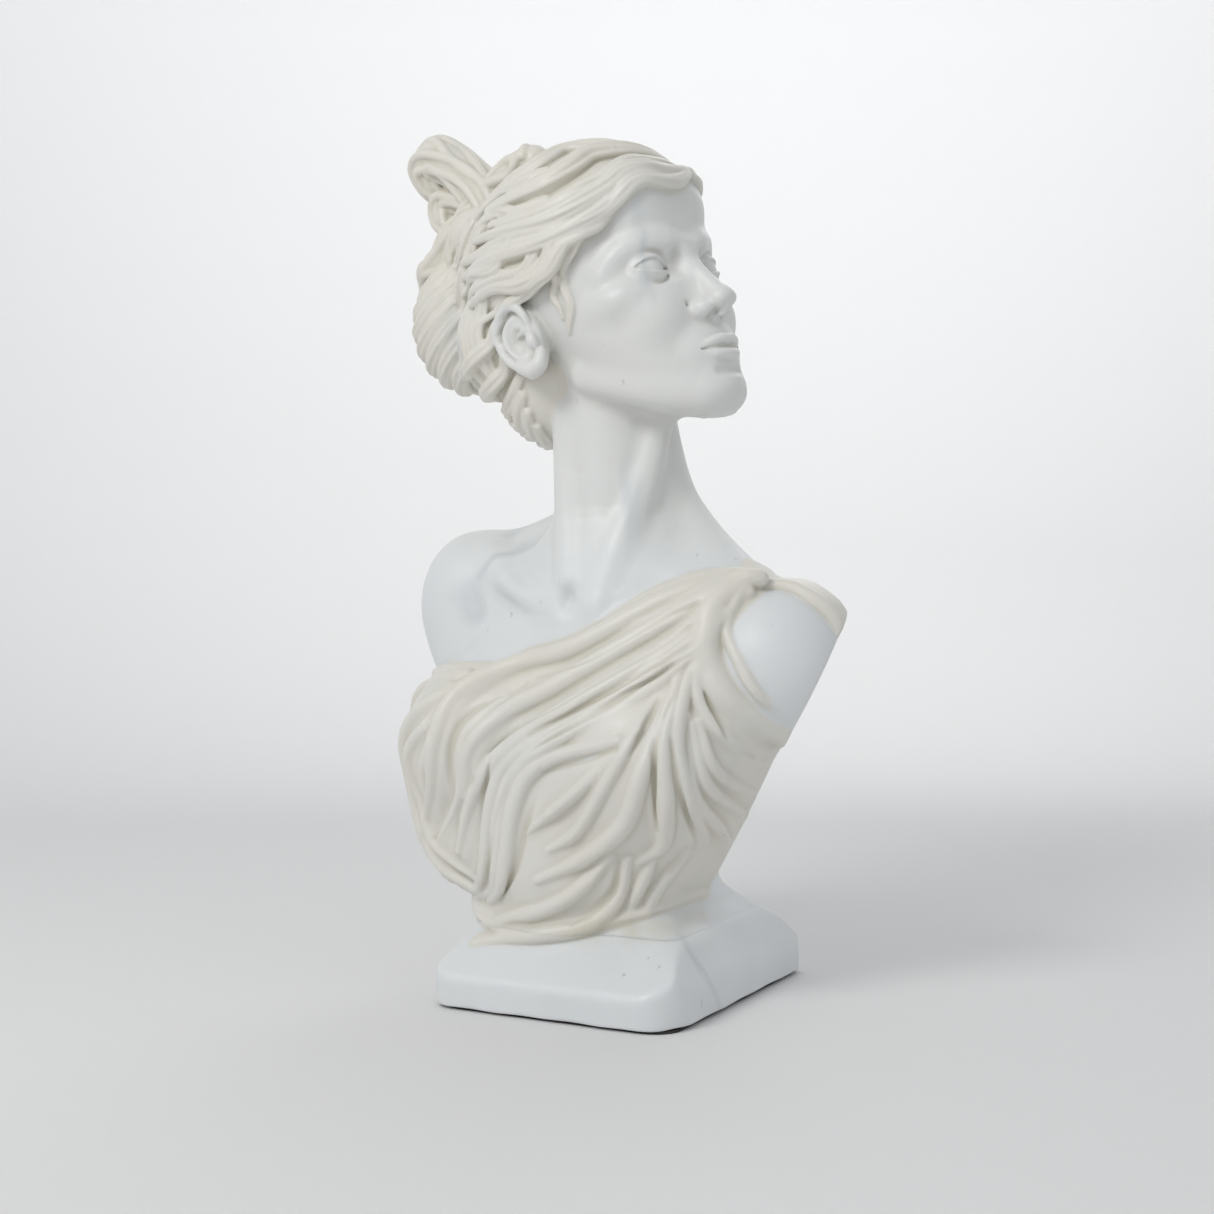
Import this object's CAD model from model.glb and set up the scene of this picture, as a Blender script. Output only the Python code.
"""The looks of a draped marble bust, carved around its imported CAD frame.

The two stone blocks are modelled like clay: rounded forms, ridges and creases are joined into one
distance field on a grid of small cubes, and the finished skin is taken from that field.
Inside the clay, lengths are millimetres; Blender objects are in metres.
"""

import math

import bpy
import numpy as np
import openvdb
from mathutils import Euler, Matrix, Vector


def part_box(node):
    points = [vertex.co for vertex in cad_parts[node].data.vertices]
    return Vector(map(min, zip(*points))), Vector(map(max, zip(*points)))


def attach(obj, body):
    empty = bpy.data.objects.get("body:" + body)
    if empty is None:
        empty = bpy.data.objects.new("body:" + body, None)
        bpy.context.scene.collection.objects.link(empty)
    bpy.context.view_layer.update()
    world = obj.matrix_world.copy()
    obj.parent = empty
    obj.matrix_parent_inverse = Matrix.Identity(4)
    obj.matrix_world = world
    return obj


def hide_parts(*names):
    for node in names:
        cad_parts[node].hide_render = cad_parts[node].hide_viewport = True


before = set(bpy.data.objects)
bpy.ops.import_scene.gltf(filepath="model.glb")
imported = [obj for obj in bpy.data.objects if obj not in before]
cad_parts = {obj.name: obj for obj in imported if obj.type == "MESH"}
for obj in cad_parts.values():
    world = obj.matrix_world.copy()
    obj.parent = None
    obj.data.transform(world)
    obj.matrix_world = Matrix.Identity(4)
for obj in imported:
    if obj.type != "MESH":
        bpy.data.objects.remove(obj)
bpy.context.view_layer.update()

MM = 0.001
STEP = 1.25  # edge of one cube of clay
FAR = 60.0  # the field holds no distance beyond this

# ---- places shared with the CAD part, in millimetres and degrees ----
CHEST_AT = (-9.0, 7.0, 0.0)
CHEST_YAW = -8.0
HEAD_AT = (-17.0, 5.0, 544.0)
HEAD_YAW, HEAD_PITCH, HEAD_ROLL = 74.0, -16.0, -5.0
ROD_BORE, ROD_BORE_TOP = 11.0, 190.0  # radius, and height of the blind end
COUNTERBORE, COUNTERBORE_TOP = 38.0, 36.0
OVERCUT = 20.0  # how far a bore passes the face that it opens through
CLAY_BOX = (-248, -160, -6), (215, 170, 712)


def box_mm(node):
    low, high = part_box(node)
    return np.array(low) / MM, np.array(high) / MM


SOCLE_LOW, SOCLE_HIGH = box_mm("socle")
BUST_LOW, BUST_HIGH = box_mm("bust")
JOINT = (SOCLE_HIGH[2] + BUST_LOW[2]) / 2
HALF_WIDTH = (SOCLE_HIGH[0] - SOCLE_LOW[0]) / 2
HALF_DEPTH = (SOCLE_HIGH[1] - SOCLE_LOW[1]) / 2


class Place:
    """A turned frame inside the clay, such as the head's or the chest's."""

    def __init__(self, at, turn):
        self.at = np.array(at, float)
        self.turn = np.array(turn, float)

    def point(self, p):
        return self.turn @ np.array(p, float) + self.at

    def points(self, rows):
        return np.array(rows, float) @ self.turn.T + self.at

    def inner(self, at, angles=(0, 0, 0)):
        """A frame inside this one, turned by angles about its own x, y and z."""
        turn = np.array(Euler([math.radians(a) for a in angles]).to_matrix())
        return Place(self.point(at), self.turn @ turn)


def turned(yaw, pitch=0.0, roll=0.0):
    turn = Matrix.Rotation(math.radians(yaw), 3, "Z")
    turn = turn @ Matrix.Rotation(math.radians(pitch), 3, "X")
    return turn @ Matrix.Rotation(math.radians(roll), 3, "Y")


CHEST = Place(CHEST_AT, turned(CHEST_YAW))
HEAD = Place(HEAD_AT, turned(HEAD_YAW, HEAD_PITCH, HEAD_ROLL))


# ---- the clay ----
def soft_min(a, b, blend):
    """The smaller of two distances, rounded where they are within the blend of each other."""
    low = np.minimum(a, b)
    if blend <= 0:
        return low
    near = np.maximum(blend - np.abs(a - b), 0)
    return low - near * near / (4 * blend)


def soft_max(a, b, blend):
    return -soft_min(-a, -b, blend)


class Clay:
    """A solid as distances on a grid: negative inside, positive outside."""

    def __init__(self, low, high):
        self.low = np.array(low, np.float32)
        counts = np.ceil((np.array(high) - low) / STEP).astype(int) + 1
        self.axes = [(self.low[i] + STEP * np.arange(counts[i])).astype(np.float32) for i in range(3)]
        self.field = np.full(counts, FAR, np.float32)

    def window(self, low, high):
        spans = []
        for axis, a, b in zip(self.axes, low, high):
            first = int(np.clip(math.floor((a - axis[0]) / STEP), 0, len(axis)))
            last = int(np.clip(math.ceil((b - axis[0]) / STEP) + 1, first, len(axis)))
            spans.append(slice(first, last))
        x, y, z = (axis[span] for axis, span in zip(self.axes, spans))
        return tuple(spans), (x[:, None, None], y[None, :, None], z[None, None, :])

    def join(self, spans, distance, blend=0.0):
        self.field[spans] = soft_min(self.field[spans], np.minimum(distance, FAR), blend)

    def carve(self, spans, distance, blend=0.0):
        """Takes away what is inside the given distance field."""
        self.field[spans] = soft_max(self.field[spans], -distance, blend)

    def shape(self, spans, distance, blend, carve):
        if carve:
            self.carve(spans, distance, blend)
        else:
            self.join(spans, distance, blend)

    def keep(self, spans, distance, blend=0.0):
        """Keeps only what is inside the given distance field."""
        self.field[spans] = soft_max(self.field[spans], distance, blend)

    def everywhere(self):
        return self.window([a[0] for a in self.axes], [a[-1] for a in self.axes])


def local(place, grid):
    """The coordinates of a window in a place's own frame."""
    x, y, z = (g - np.float32(c) for g, c in zip(grid, place.at))
    turn = place.turn.astype(np.float32)
    return [turn[0, i] * x + turn[1, i] * y + turn[2, i] * z for i in range(3)]


def oval_distance(place, grid, radii):
    """A close estimate of the distance to an oval body."""
    p = local(place, grid)
    k0 = np.sqrt(sum((c / np.float32(r)) ** 2 for c, r in zip(p, radii)))
    k1 = np.sqrt(sum((c / np.float32(r * r)) ** 2 for c, r in zip(p, radii))) + 1e-6
    return k0 * (k0 - 1) / k1


def reach(place, radii, margin):
    """The world box of a turned oval, with a margin."""
    half = np.abs(place.turn) @ np.array(radii, float) + margin
    return place.at - half, place.at + half


def oval(clay, place, radii, blend=8.0, carve=False):
    spans, grid = clay.window(*reach(place, radii, 2 * blend + 10))
    if 0 in clay.field[spans].shape:
        return
    distance = oval_distance(place, grid, radii)
    clay.shape(spans, distance, blend, carve)


def smooth_line(points, count):
    """A Catmull-Rom line through points, with evenly spaced parameters."""
    points = np.array(points, float)
    padded = np.vstack([2 * points[0] - points[1], points, 2 * points[-1] - points[-2]])
    t = np.linspace(0, len(points) - 1, count)
    i = np.minimum(t.astype(int), len(points) - 2)
    f = (t - i)[:, None]
    p0, p1, p2, p3 = (padded[i + k] for k in range(4))
    return 0.5 * (2 * p1 + (p2 - p0) * f + (2 * p0 - 5 * p1 + 4 * p2 - p3) * f**2
                  + (3 * p1 - p0 - 3 * p2 + p3) * f**3)


def line_distance(clay, points, radii, margin):
    """The distance to a chain of round cones, on the window round it."""
    radius = float(np.max(radii)) + margin
    spans, grid = clay.window(points.min(0) - radius, points.max(0) + radius)
    shape = tuple(s.stop - s.start for s in spans)
    out = np.full(shape, FAR, np.float32)
    if 0 in shape:
        return spans, out
    first = [s.start for s in spans]
    for a, b, ra, rb in zip(points[:-1], points[1:], radii[:-1], radii[1:]):
        part, cut = clay.window(np.minimum(a, b) - radius, np.maximum(a, b) + radius)
        inner = tuple(slice(max(s.start - f, 0), max(s.stop - f, 0)) for s, f in zip(part, first))
        ab = (b - a).astype(np.float32)
        length = max(float(ab @ ab), 1e-6)
        x, y, z = (g - np.float32(c) for g, c in zip(cut, a))
        t = np.clip((x * ab[0] + y * ab[1] + z * ab[2]) / length, 0, 1)
        gap = np.sqrt((x - t * ab[0]) ** 2 + (y - t * ab[1]) ** 2 + (z - t * ab[2]) ** 2)
        gap -= ra + t * (rb - ra)
        out[inner] = np.minimum(out[inner], gap)
    return spans, out


def ridge(clay, points, radii, blend=4.0, carve=False):
    """A rounded ridge, cord or muscle along a line; radii run from end to end."""
    points = np.array(points, float)
    length = np.linalg.norm(np.diff(points, axis=0), axis=1).sum()
    count = max(int(length / (3.0 * STEP)), 4)
    line = smooth_line(points, count)
    radii = np.interp(np.linspace(0, 1, count), np.linspace(0, 1, len(radii)), radii)
    spans, distance = line_distance(clay, line, radii, max(blend + 6, 2 * blend))
    clay.shape(spans, distance, blend, carve)


def table_at(table, z):
    """Smoothed columns of a table of sizes at heights z."""
    rows = np.array(table, float)
    fine = np.arange(rows[0, 0], rows[-1, 0] + 1, 2.0)
    half = 5
    kernel = np.hanning(2 * half + 3)[1:-1]
    kernel /= kernel.sum()
    columns = []
    for column in rows.T[1:]:
        values = np.interp(fine, rows[:, 0], column)
        padded = np.concatenate([
            2 * values[0] - values[half:0:-1], values, 2 * values[-1] - values[-2:-half - 2:-1]])
        columns.append(np.interp(z, fine, np.convolve(padded, kernel, "valid")))
    return columns


def stack_distance(place, grid, table):
    """A body of oval sections; rows hold height, centre across, centre back, half width, half depth."""
    x, y, z = local(place, grid)
    heights = np.linspace(table[0][0], table[-1][0], 400)
    columns = table_at(table, heights)
    across, back, wide, deep = (np.interp(z, heights, column).astype(np.float32) for column in columns)
    slope = np.gradient((columns[2] + columns[3]) / 2, heights)
    steep = np.sqrt(1 + np.interp(z, heights, slope) ** 2).astype(np.float32)
    x = (x - across) / wide
    y = (y - back) / deep
    radius = np.sqrt(x * x + y * y) + 1e-6
    pull = np.sqrt((x / wide) ** 2 + (y / deep) ** 2) / radius + 1e-6
    side = (radius - 1) / (pull * steep)
    ends = np.maximum(table[0][0] - z, z - table[-1][0])
    return np.maximum(side, ends)


# ---- the trunk ----
TRUNK = [  # height, centre across, centre back, half width, half depth
    (40, -8, -10, 74, 84),
    (78, -10, -12, 84, 89),
    (100, -13, -13, 106, 94),
    (140, -10, -13, 127, 96),
    (180, -5, -11, 138, 96),
    (220, -4, -6, 153, 93),
    (260, 0, 2, 158, 80),
    (295, 0, 8, 150, 66),
    (325, 0, 12, 118, 50),
    (350, 0, 10, 72, 43),
    (370, 0, 7, 38, 32),
    (384, 0, 6, 18, 16),
]


def chest_form(clay, at, radii, blend, angles=(0, 0, 0), carve=False):
    oval(clay, CHEST.inner(at, angles), radii, blend, carve)


def chest_ridge(clay, points, radii, blend, carve=False):
    ridge(clay, CHEST.points(points), radii, blend, carve)


# The flat cuts that end her left and right upper arms: a normal, and its distance from the origin.
LEFT_CUT = (0.82, 0.36, -0.44), 23.0
RIGHT_CUT = (-0.86, 0.30, -0.42), 44.0
CHIN_HEIGHT = 400  # the cuts stay below the head
FOOT_BLEND = 22  # how softly the trunk runs down into the foot


def cut_flat(clay, plane):
    """Takes away what lies beyond a flat cut, except the foot."""
    normal, offset = plane
    low, high = CLAY_BOX
    spans, grid = clay.window(low, (*high[:2], CHIN_HEIGHT))
    x, y, z = grid
    nx, ny, nz = (np.float32(v) for v in np.array(normal) / np.linalg.norm(normal))
    cut = nx * x + ny * y + nz * z - np.float32(offset)
    clay.keep(spans, soft_min(cut, foot_distance(grid), FOOT_BLEND), 3.0)


def carve_neck(clay):
    """The column of the neck, its nape, and the two long muscles down to the notch of the collar."""
    skull_base = HEAD.point((0, 22, -20))
    ridge(clay, [(-9, 13, 300), (-11, 10, 350)], (60, 38), 30)
    ridge(clay, [(-9, 13, 320), (-12, 9, 370), (-14, 8, 430), skull_base], (60, 47, 45, 45), 26)
    ridge(clay, [(-12, 36, 330), (-16, 34, 400), HEAD.point((0, 56, -30))], (42, 32, 34), 22)
    ridge(clay, [(-39, -19, 470), (-39, -24, 430), (-34, -33, 380), (-27, -44, 338), (-21, -53, 310)],
          (10, 10, 9, 7, 4), 12)
    ridge(clay, [(34, 10, 485), (31, -4, 440), (24, -20, 392), (12, -38, 345), (2, -52, 306)],
          (9, 10, 10, 8, 4), 12)
    ridge(clay, [(14, 34, 450), (22, 16, 400), (28, -8, 350)], (12, 12, 9), 16)


def carve_shoulders(clay):
    """The upper arms, the slopes from neck to shoulder, and the collar bones with hollows over them."""
    chest_form(clay, (-146, 4, 305), (50, 50, 60), 26)
    chest_form(clay, (-150, 10, 262), (42, 44, 60), 24)
    chest_form(clay, (-80, 8, 326), (78, 42, 26), 24, (0, -14, 0))
    chest_form(clay, (80, 6, 308), (80, 42, 26), 24, (0, 20, 0))
    for side, drop in ((-1, 0), (1, 36)):
        chest_ridge(clay, [(side * 16, 26, 416), (side * 46, 22, 372), (side * 118, 14, 340 - drop)],
                    (20, 22, 20), 26)
        chest_ridge(clay, [(side * 16, -50, 303), (side * 62, -48, 316 - drop / 2),
                           (side * 118, -14, 344 - drop)], (5, 7, 9), 15)
        chest_ridge(clay, [(side * 36, -62, 328 - drop / 2), (side * 76, -50, 344 - drop / 2)],
                    (6, 6), 16, carve=True)


def carve_trunk(clay):
    """Chest, back, shoulders and neck, and the swell of the gown at her right, before the cloth."""
    spans, grid = clay.everywhere()
    clay.join(spans, stack_distance(CHEST, grid, TRUNK))
    carve_shoulders(clay)
    cut_flat(clay, RIGHT_CUT)
    for at, radii, blend in (
            ((-85, -62, 194), (66, 58, 66), 20),
            ((-82, -50, 126), (64, 54, 52), 14),
            ((-62, -62, 68), (25, 24, 20), 12),
            ((62, -60, 188), (52, 46, 54), 26)):
        chest_form(clay, at, radii, blend)
    carve_neck(clay)
    chest_form(clay, (-4, -66, 311), (6, 8, 8), 12, carve=True)


# ---- the cloth ----
# Lines on the trunk are given as (angle, height): the angle in degrees from the front to her left.
NECKLINE = [
    (-180, 262), (-150, 246), (-120, 240), (-90, 244), (-60, 249), (-36, 252), (-20, 256), (-8, 266),
    (2, 274), (14, 288), (27, 304), (46, 318), (66, 328), (90, 344), (120, 330), (150, 296), (180, 262),
]
CLOTH = 3.5  # thickness of the cloth where it lies flat
CLOTH_TOP = 352


class TrunkSurface:
    """Finds points on the carved trunk from an angle and a height."""

    def __init__(self, clay):
        self.clay = clay
        self.field = clay.field.copy()

    def point(self, angle, z, lift):
        across, back, wide, deep = (float(column) for column in table_at(TRUNK, float(z)))
        turn = math.radians(angle)
        out = np.array((wide * math.sin(turn), -deep * math.cos(turn), 0.0))
        reach_out = np.linspace(2.1, 0.5, 320)  # from outside the swells inwards, in half widths
        rays = CHEST.points(np.array((across, back, z)) + reach_out[:, None] * out)
        inside = sampled(self.field, self.clay, rays) < 0
        first = int(np.argmax(inside)) if inside.any() else len(rays) - 1
        outward = CHEST.turn @ (out / np.linalg.norm(out))
        return rays[first] + lift * outward

    def line(self, pairs, lift):
        return np.array([self.point(angle, z, lift) for angle, z in pairs])


def lay_cloth(clay):
    """A thin even layer over the trunk, up to the neckline."""
    spans, grid = clay.window((-215, -160, JOINT - 8), (215, 170, CLOTH_TOP))
    x, y, z = local(CHEST, grid)
    heights = np.linspace(TRUNK[0][0], TRUNK[-1][0], 300)
    across, back, wide, deep = (np.interp(grid[2], heights, c).astype(np.float32)
                                for c in table_at(TRUNK, heights))
    angle = np.degrees(np.arctan2((x - across) / wide, -(y - back) / deep))
    angles, edge = np.array(NECKLINE, float).T
    above = (z - np.interp(angle, angles, edge).astype(np.float32)) * np.float32(0.8)
    angles, edge = np.array(HEM, float).T
    below = np.interp(angle, angles, edge, period=360).astype(np.float32) - z
    cloth = soft_max(clay.field[spans] - np.float32(CLOTH), soft_max(above, below, 0), 3.0)
    clay.join(spans, cloth, 1.0)


# Each fold: a line over the trunk, and the radius of its crest.
SASH = [
    ([(68, 328), (50, 324), (28, 309), (4, 275), (-14, 260), (-21, 238), (-25, 200), (-31, 165),
      (-48, 120)], 8.5),
    ([(67, 326), (45, 316), (26, 288), (3, 247), (-10, 225), (-17, 198), (-22, 160)], 8.0),
    ([(-13, 234), (-18, 205), (-23, 162), (-37, 122)], 4.5),
    ([(65, 323), (46, 310), (34, 278), (13, 237), (-1, 211), (-13, 184), (-22, 150), (-30, 114)], 8.0),
    ([(62, 318), (44, 291), (26, 246), (4, 208), (-9, 183), (-14, 146), (-20, 103), (-31, 87), (-43, 86),
      (-47, 106)], 7.5),
    ([(50, 302), (32, 248), (12, 213), (-3, 185), (-9, 150), (-12, 107), (-20, 88), (-42, 76)], 7.5),
]
BREAST_FOLDS = [
    ([(27, 210), (10, 195), (0, 178), (-4, 150), (-7, 111), (-13, 90), (-28, 76)], 7.5),
    ([(32, 218), (20, 174), (2, 135)], 5.0),
    ([(35, 253), (29, 198), (22, 143), (12, 124)], 5.0),
    ([(37, 242), (36, 190), (36, 148), (26, 120), (8, 100)], 7.5),
    ([(39, 270), (39, 214), (46, 167), (52, 133), (47, 118)], 7.5),
    ([(42, 272), (43, 214), (54, 168), (72, 134)], 7.0),
    ([(35, 122), (25, 93), (6, 75), (-15, 66)], 6.5),
    ([(42, 120), (44, 90), (33, 68), (8, 58), (-12, 52), (-26, 46)], 6.5),
    ([(4, 78), (-14, 66), (-28, 58)], 5.0),
    ([(66, 125), (60, 94), (58, 74)], 5.5),
    ([(52, 120), (51, 80)], 5.0),
]
ARMHOLE_FOLDS = [
    ([(46, 300), (43, 268), (48, 238), (62, 212), (94, 186)], 5.5),
    ([(50, 223), (62, 188), (93, 164)], 5.5),
    ([(48, 221), (60, 178), (90, 150)], 5.5),
    ([(45, 228), (55, 173), (75, 143), (88, 128)], 5.5),
    ([(71, 229), (98, 208)], 4.5),
]
RIGHT_FOLDS = [
    ([(-20, 255), (-36, 252), (-61, 245), (-90, 243), (-120, 241)], 6.5),
    ([(-21, 244), (-30, 226), (-40, 200), (-48, 165), (-50, 130), (-44, 98), (-32, 80)], 6.5),
    ([(-22, 235), (-28, 211), (-38, 185), (-42, 150), (-40, 115), (-30, 94)], 6.0),
    ([(-22, 224), (-27, 195), (-33, 170), (-36, 142)], 5.5),
    ([(-24, 250), (-44, 236), (-58, 200), (-62, 160), (-59, 120), (-50, 90)], 6.5),
    ([(-34, 250), (-58, 238), (-76, 204), (-78, 160), (-72, 120), (-62, 86)], 6.5),
    ([(-46, 248), (-76, 236), (-94, 204), (-94, 160), (-86, 118), (-74, 82)], 6.5),
    ([(-62, 246), (-96, 230), (-112, 196), (-110, 152), (-100, 112), (-88, 80)], 6.5),
]
BACK_FOLDS = [
    ([(100, 322), (128, 296), (156, 262), (-176, 240), (-150, 236), (-120, 238)], 7.0),
    ([(98, 300), (124, 262), (152, 226), (-176, 204), (-146, 200), (-116, 206)], 7.5),
    ([(100, 270), (126, 230), (156, 194), (-172, 172), (-140, 168), (-114, 176)], 7.5),
    ([(100, 236), (128, 198), (160, 164), (-166, 142), (-134, 138), (-108, 146)], 7.5),
    ([(104, 200), (134, 164), (166, 134), (-160, 114), (-128, 110), (-104, 118)], 7.0),
    ([(108, 160), (140, 130), (174, 106), (-154, 90), (-124, 88), (-100, 94)], 7.0),
    ([(92, 150), (116, 118), (150, 92), (-174, 78), (-140, 74)], 6.5),
]
# Narrow grooves between folds: a line over the trunk, and the groove's radius.
GROOVES = [
    ([(-8, 247), (-17, 224), (-21, 198), (-26, 151), (-38, 122)], 2.5),
    ([(-10, 192), (-16, 154), (-20, 108), (-30, 94)], 2.5),
    ([(-4, 180), (-10, 135), (-16, 101), (-29, 83)], 2.5),
    ([(6, 186), (2, 145), (-2, 109), (-18, 79)], 3.0),
    ([(42, 312), (27, 297), (10, 267), (-5, 252)], 2.2),
    ([(44, 305), (33, 286), (9, 238), (-7, 210), (-18, 168)], 2.2),
    ([(43, 296), (35, 275), (17, 239), (0, 210)], 2.2),
    ([(40, 274), (18, 229), (2, 198)], 2.5),
    ([(27, 204), (6, 182)], 2.5),
    ([(37, 240), (37, 204), (47, 143)], 2.2),
    ([(41, 211), (49, 174), (68, 130)], 2.4),
    ([(46, 290), (47, 250), (64, 209), (82, 194)], 2.5),
    ([(-41, 117), (-37, 97), (-33, 90)], 3.0),
    ([(34, 239), (31, 200)], 2.5),
    ([(34, 126), (26, 100)], 3.0),
    ([(39, 117), (40, 92), (25, 69)], 3.0),
    ([(-19, 251), (-24, 228), (-27, 210)], 2.5),
]
ARMHOLE = [(66, 326), (54, 312), (51, 290), (56, 265), (68, 241), (100, 214)]
HEM = [(-150, 72), (-120, 68), (-95, 72), (-74, 66), (-50, 70), (-32, 62), (-12, 56), (12, 58), (32, 66),
       (58, 76), (84, 84), (110, 82), (140, 76), (180, 72), (210, 72)]


def lay_folds(clay):
    """Each fold is a rounded crest on a broader swell; narrow grooves part the folds that lie close."""
    surface = TrunkSurface(clay)
    folds = SASH + BREAST_FOLDS + ARMHOLE_FOLDS + RIGHT_FOLDS + BACK_FOLDS
    swell = 1.25 * np.array((0.8, 1, 1, 0.8))
    crest = np.array((0.5, 0.9, 1, 0.9, 0.4))
    for line, radius in folds:
        ridge(clay, surface.line(line, -radius), radius * swell, 4)
    for line, radius in folds:
        ridge(clay, surface.line(line, 0.5), radius * crest, 2)
    ridge(clay, surface.line(HEM, -3.5), (5, 6, 5, 6, 5), 5)
    folded = TrunkSurface(clay)
    for line, radius in GROOVES:
        deep = 0.85 * radius
        ridge(clay, folded.line(line, 0.8), (0.3, deep, deep, 0.3), 3.5, carve=True)


SHOULDER_AT, SHOULDER = (136, 16, 262), (56, 62, 60)  # the middle and the half sizes of the bare shoulder


def bare_shoulder(clay):
    """Her left shoulder comes out of the cloth, under the knot."""
    chest_form(clay, SHOULDER_AT, SHOULDER, 2)


def edge_armhole(clay):
    """A smooth band of cloth along the armhole, and its raised edge over the bare shoulder."""
    surface = TrunkSurface(clay)
    ridge(clay, surface.line([(angle - 7, z - 3) for angle, z in ARMHOLE], -6.0), (8, 10, 11, 11), 6)
    ridge(clay, surface.line(ARMHOLE, -1.0), (3.5, 4, 4.5, 4.5), 2.5)


def tie_knot(clay):
    """The cloth is drawn through a small band on the shoulder and fans out over the back of it."""
    shoulder = Shell(SHOULDER_AT, SHOULDER)
    knot = np.array((126, -7, 323))
    rises = (72, 54, 38, 12)
    nearest, farthest = (60, 82, 92, 102), (128, 126, 126, 132)
    for share in np.linspace(0, 1, 5):
        turns = [-(near + share * (far - near)) for near, far in zip(nearest, farthest)]
        line = [knot] + [shoulder.at(turn, rise, 2.5) for turn, rise in zip(turns, rises)]
        chest_ridge(clay, line, (4, 6, 7, 7, 7), 2)
    band = [(112, -25, 321), (120, -21, 325), (129, -16, 328), (137, -10, 328)]
    chest_ridge(clay, band, (2.5, 7, 8, 7), 1.5)


# ---- the head ----
# In the head's frame the eyes are at height 0, the face looks along -y and her left is +x.
def head_form(clay, at, radii, blend, angles=(0, 0, 0), carve=False):
    oval(clay, HEAD.inner(at, angles), radii, blend, carve)


def head_ridge(clay, points, radii, blend, carve=False):
    ridge(clay, HEAD.points(points), radii, blend, carve)


def both_sides(points):
    """The same points on her right and on her left."""
    return [[(side * x, y, z) for x, y, z in points] for side in (-1, 1)]


SKULL = [  # height, middle across, middle back, half width, half depth
    (-117, 0, -76, 12, 9),
    (-110, 0, -70, 27, 23),
    (-98, 0, -58, 38, 38),
    (-84, 0, -47, 47, 47),
    (-66, 0, -38, 55, 57),
    (-45, 0, -28, 62, 66),
    (-20, 0, -14, 68, 79),
    (0, 0, -2, 72, 90),
    (25, 0, 6, 76, 98),
    (55, 0, 10, 78, 101),
    (85, 0, 12, 69, 86),
    (106, 0, 14, 46, 58),
    (119, 0, 14, 14, 18),
]


def carve_skull(clay):
    """The skull with its jaw, chin, cheeks and forehead."""
    spans, grid = clay.window(*reach(HEAD, (100, 140, 140), 10))
    clay.join(spans, stack_distance(HEAD, grid, SKULL), 20)
    for points in both_sides([(48, 0, -60), (38, -44, -86), (14, -78, -101)]):
        head_ridge(clay, points, (10, 10, 12), 14)
    head_form(clay, (0, -82, -98), (18, 18, 15), 12)
    for side in (-1, 1):
        head_form(clay, (side * 47, -48, -18), (18, 24, 13), 14)
        head_form(clay, (side * 31, -68, -38), (19, 20, 20), 14)
        head_form(clay, (side * 22, -70, 56), (26, 20, 26), 18)
    head_form(clay, (0, -82, -70), (27, 19, 22), 12)


def carve_brows(clay):
    """The brow ridges over the sockets of the eyes."""
    for points in both_sides([(8, -87, 13), (20, -85, 19), (36, -77, 21), (50, -63, 14), (58, -50, 4)]):
        head_ridge(clay, points, (6, 7.5, 7.5, 6.5, 5), 10)
    for side in (-1, 1):
        head_form(clay, (side * 32, -93, -2), (20, 15, 12.5), 6, (0, 0, side * 16), carve=True)
        head_form(clay, (side * 15, -93, 0), (7, 10, 11), 6, carve=True)


def almond(share):
    """The heights of the upper and lower lid edge over the middle of the eye."""
    upper = 7.0 * np.maximum(1 - share * share, 0) ** 0.75
    lower = -4.8 * np.maximum(1 - share * share, 0)
    return upper, lower


def carve_eye(clay, side):
    """A blank eyeball under an upper and a lower lid, with a crease over the upper lid."""
    half, ball, lid, tilt = 16.0, 15.0, 17.0, 0.08  # half width of the opening, two radii, rise outwards
    place = HEAD.inner((side * 32, -69, -1), (0, 0, side * 8))
    spans, grid = clay.window(*reach(place, (24, 20, 20), 3))
    across, deep, up = local(place, grid)
    across = across * np.float32(side)
    from_middle = np.sqrt(across**2 + deep**2 + up**2)
    share = np.clip(across / half, -1, 1)
    upper, lower = almond(share)
    level = up - np.float32(tilt) * across
    opening = np.maximum(np.maximum(level - upper, lower - level), np.abs(across) - half)
    clay.join(spans, soft_max(from_middle - np.float32(lid), -opening, 0.8), 3.0)
    open_part = np.maximum(np.maximum(opening + 0.2, deep), from_middle - np.float32(lid + 1.5))
    clay.carve(spans, open_part, 0.4)
    clay.join(spans, from_middle - np.float32(ball), 0.2)

    def on_lid(rise, radius, edge):
        rows = []
        for s in np.linspace(-0.97, 0.97, 11):
            u, v = s * half, float(almond(np.array([s]))[edge][0]) + rise * (1 - 0.6 * s * s)
            v += tilt * u
            rows.append((side * u, -math.sqrt(max(radius**2 - u * u - v * v, 9)), v))
        return place.points(rows)

    ridge(clay, on_lid(0.5, 16.7, 0), (0.9, 1.3, 0.9), 1.0)
    ridge(clay, on_lid(-0.5, 16.4, 1), (0.8, 1.1, 0.8), 1.4)
    ridge(clay, on_lid(5.4, 19.0, 0), (0.8, 1.8, 1.2), 2.0, carve=True)
    ridge(clay, on_lid(-7.5, 18.4, 1), (0.5, 1.2, 0.5), 3.0, carve=True)


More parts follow.
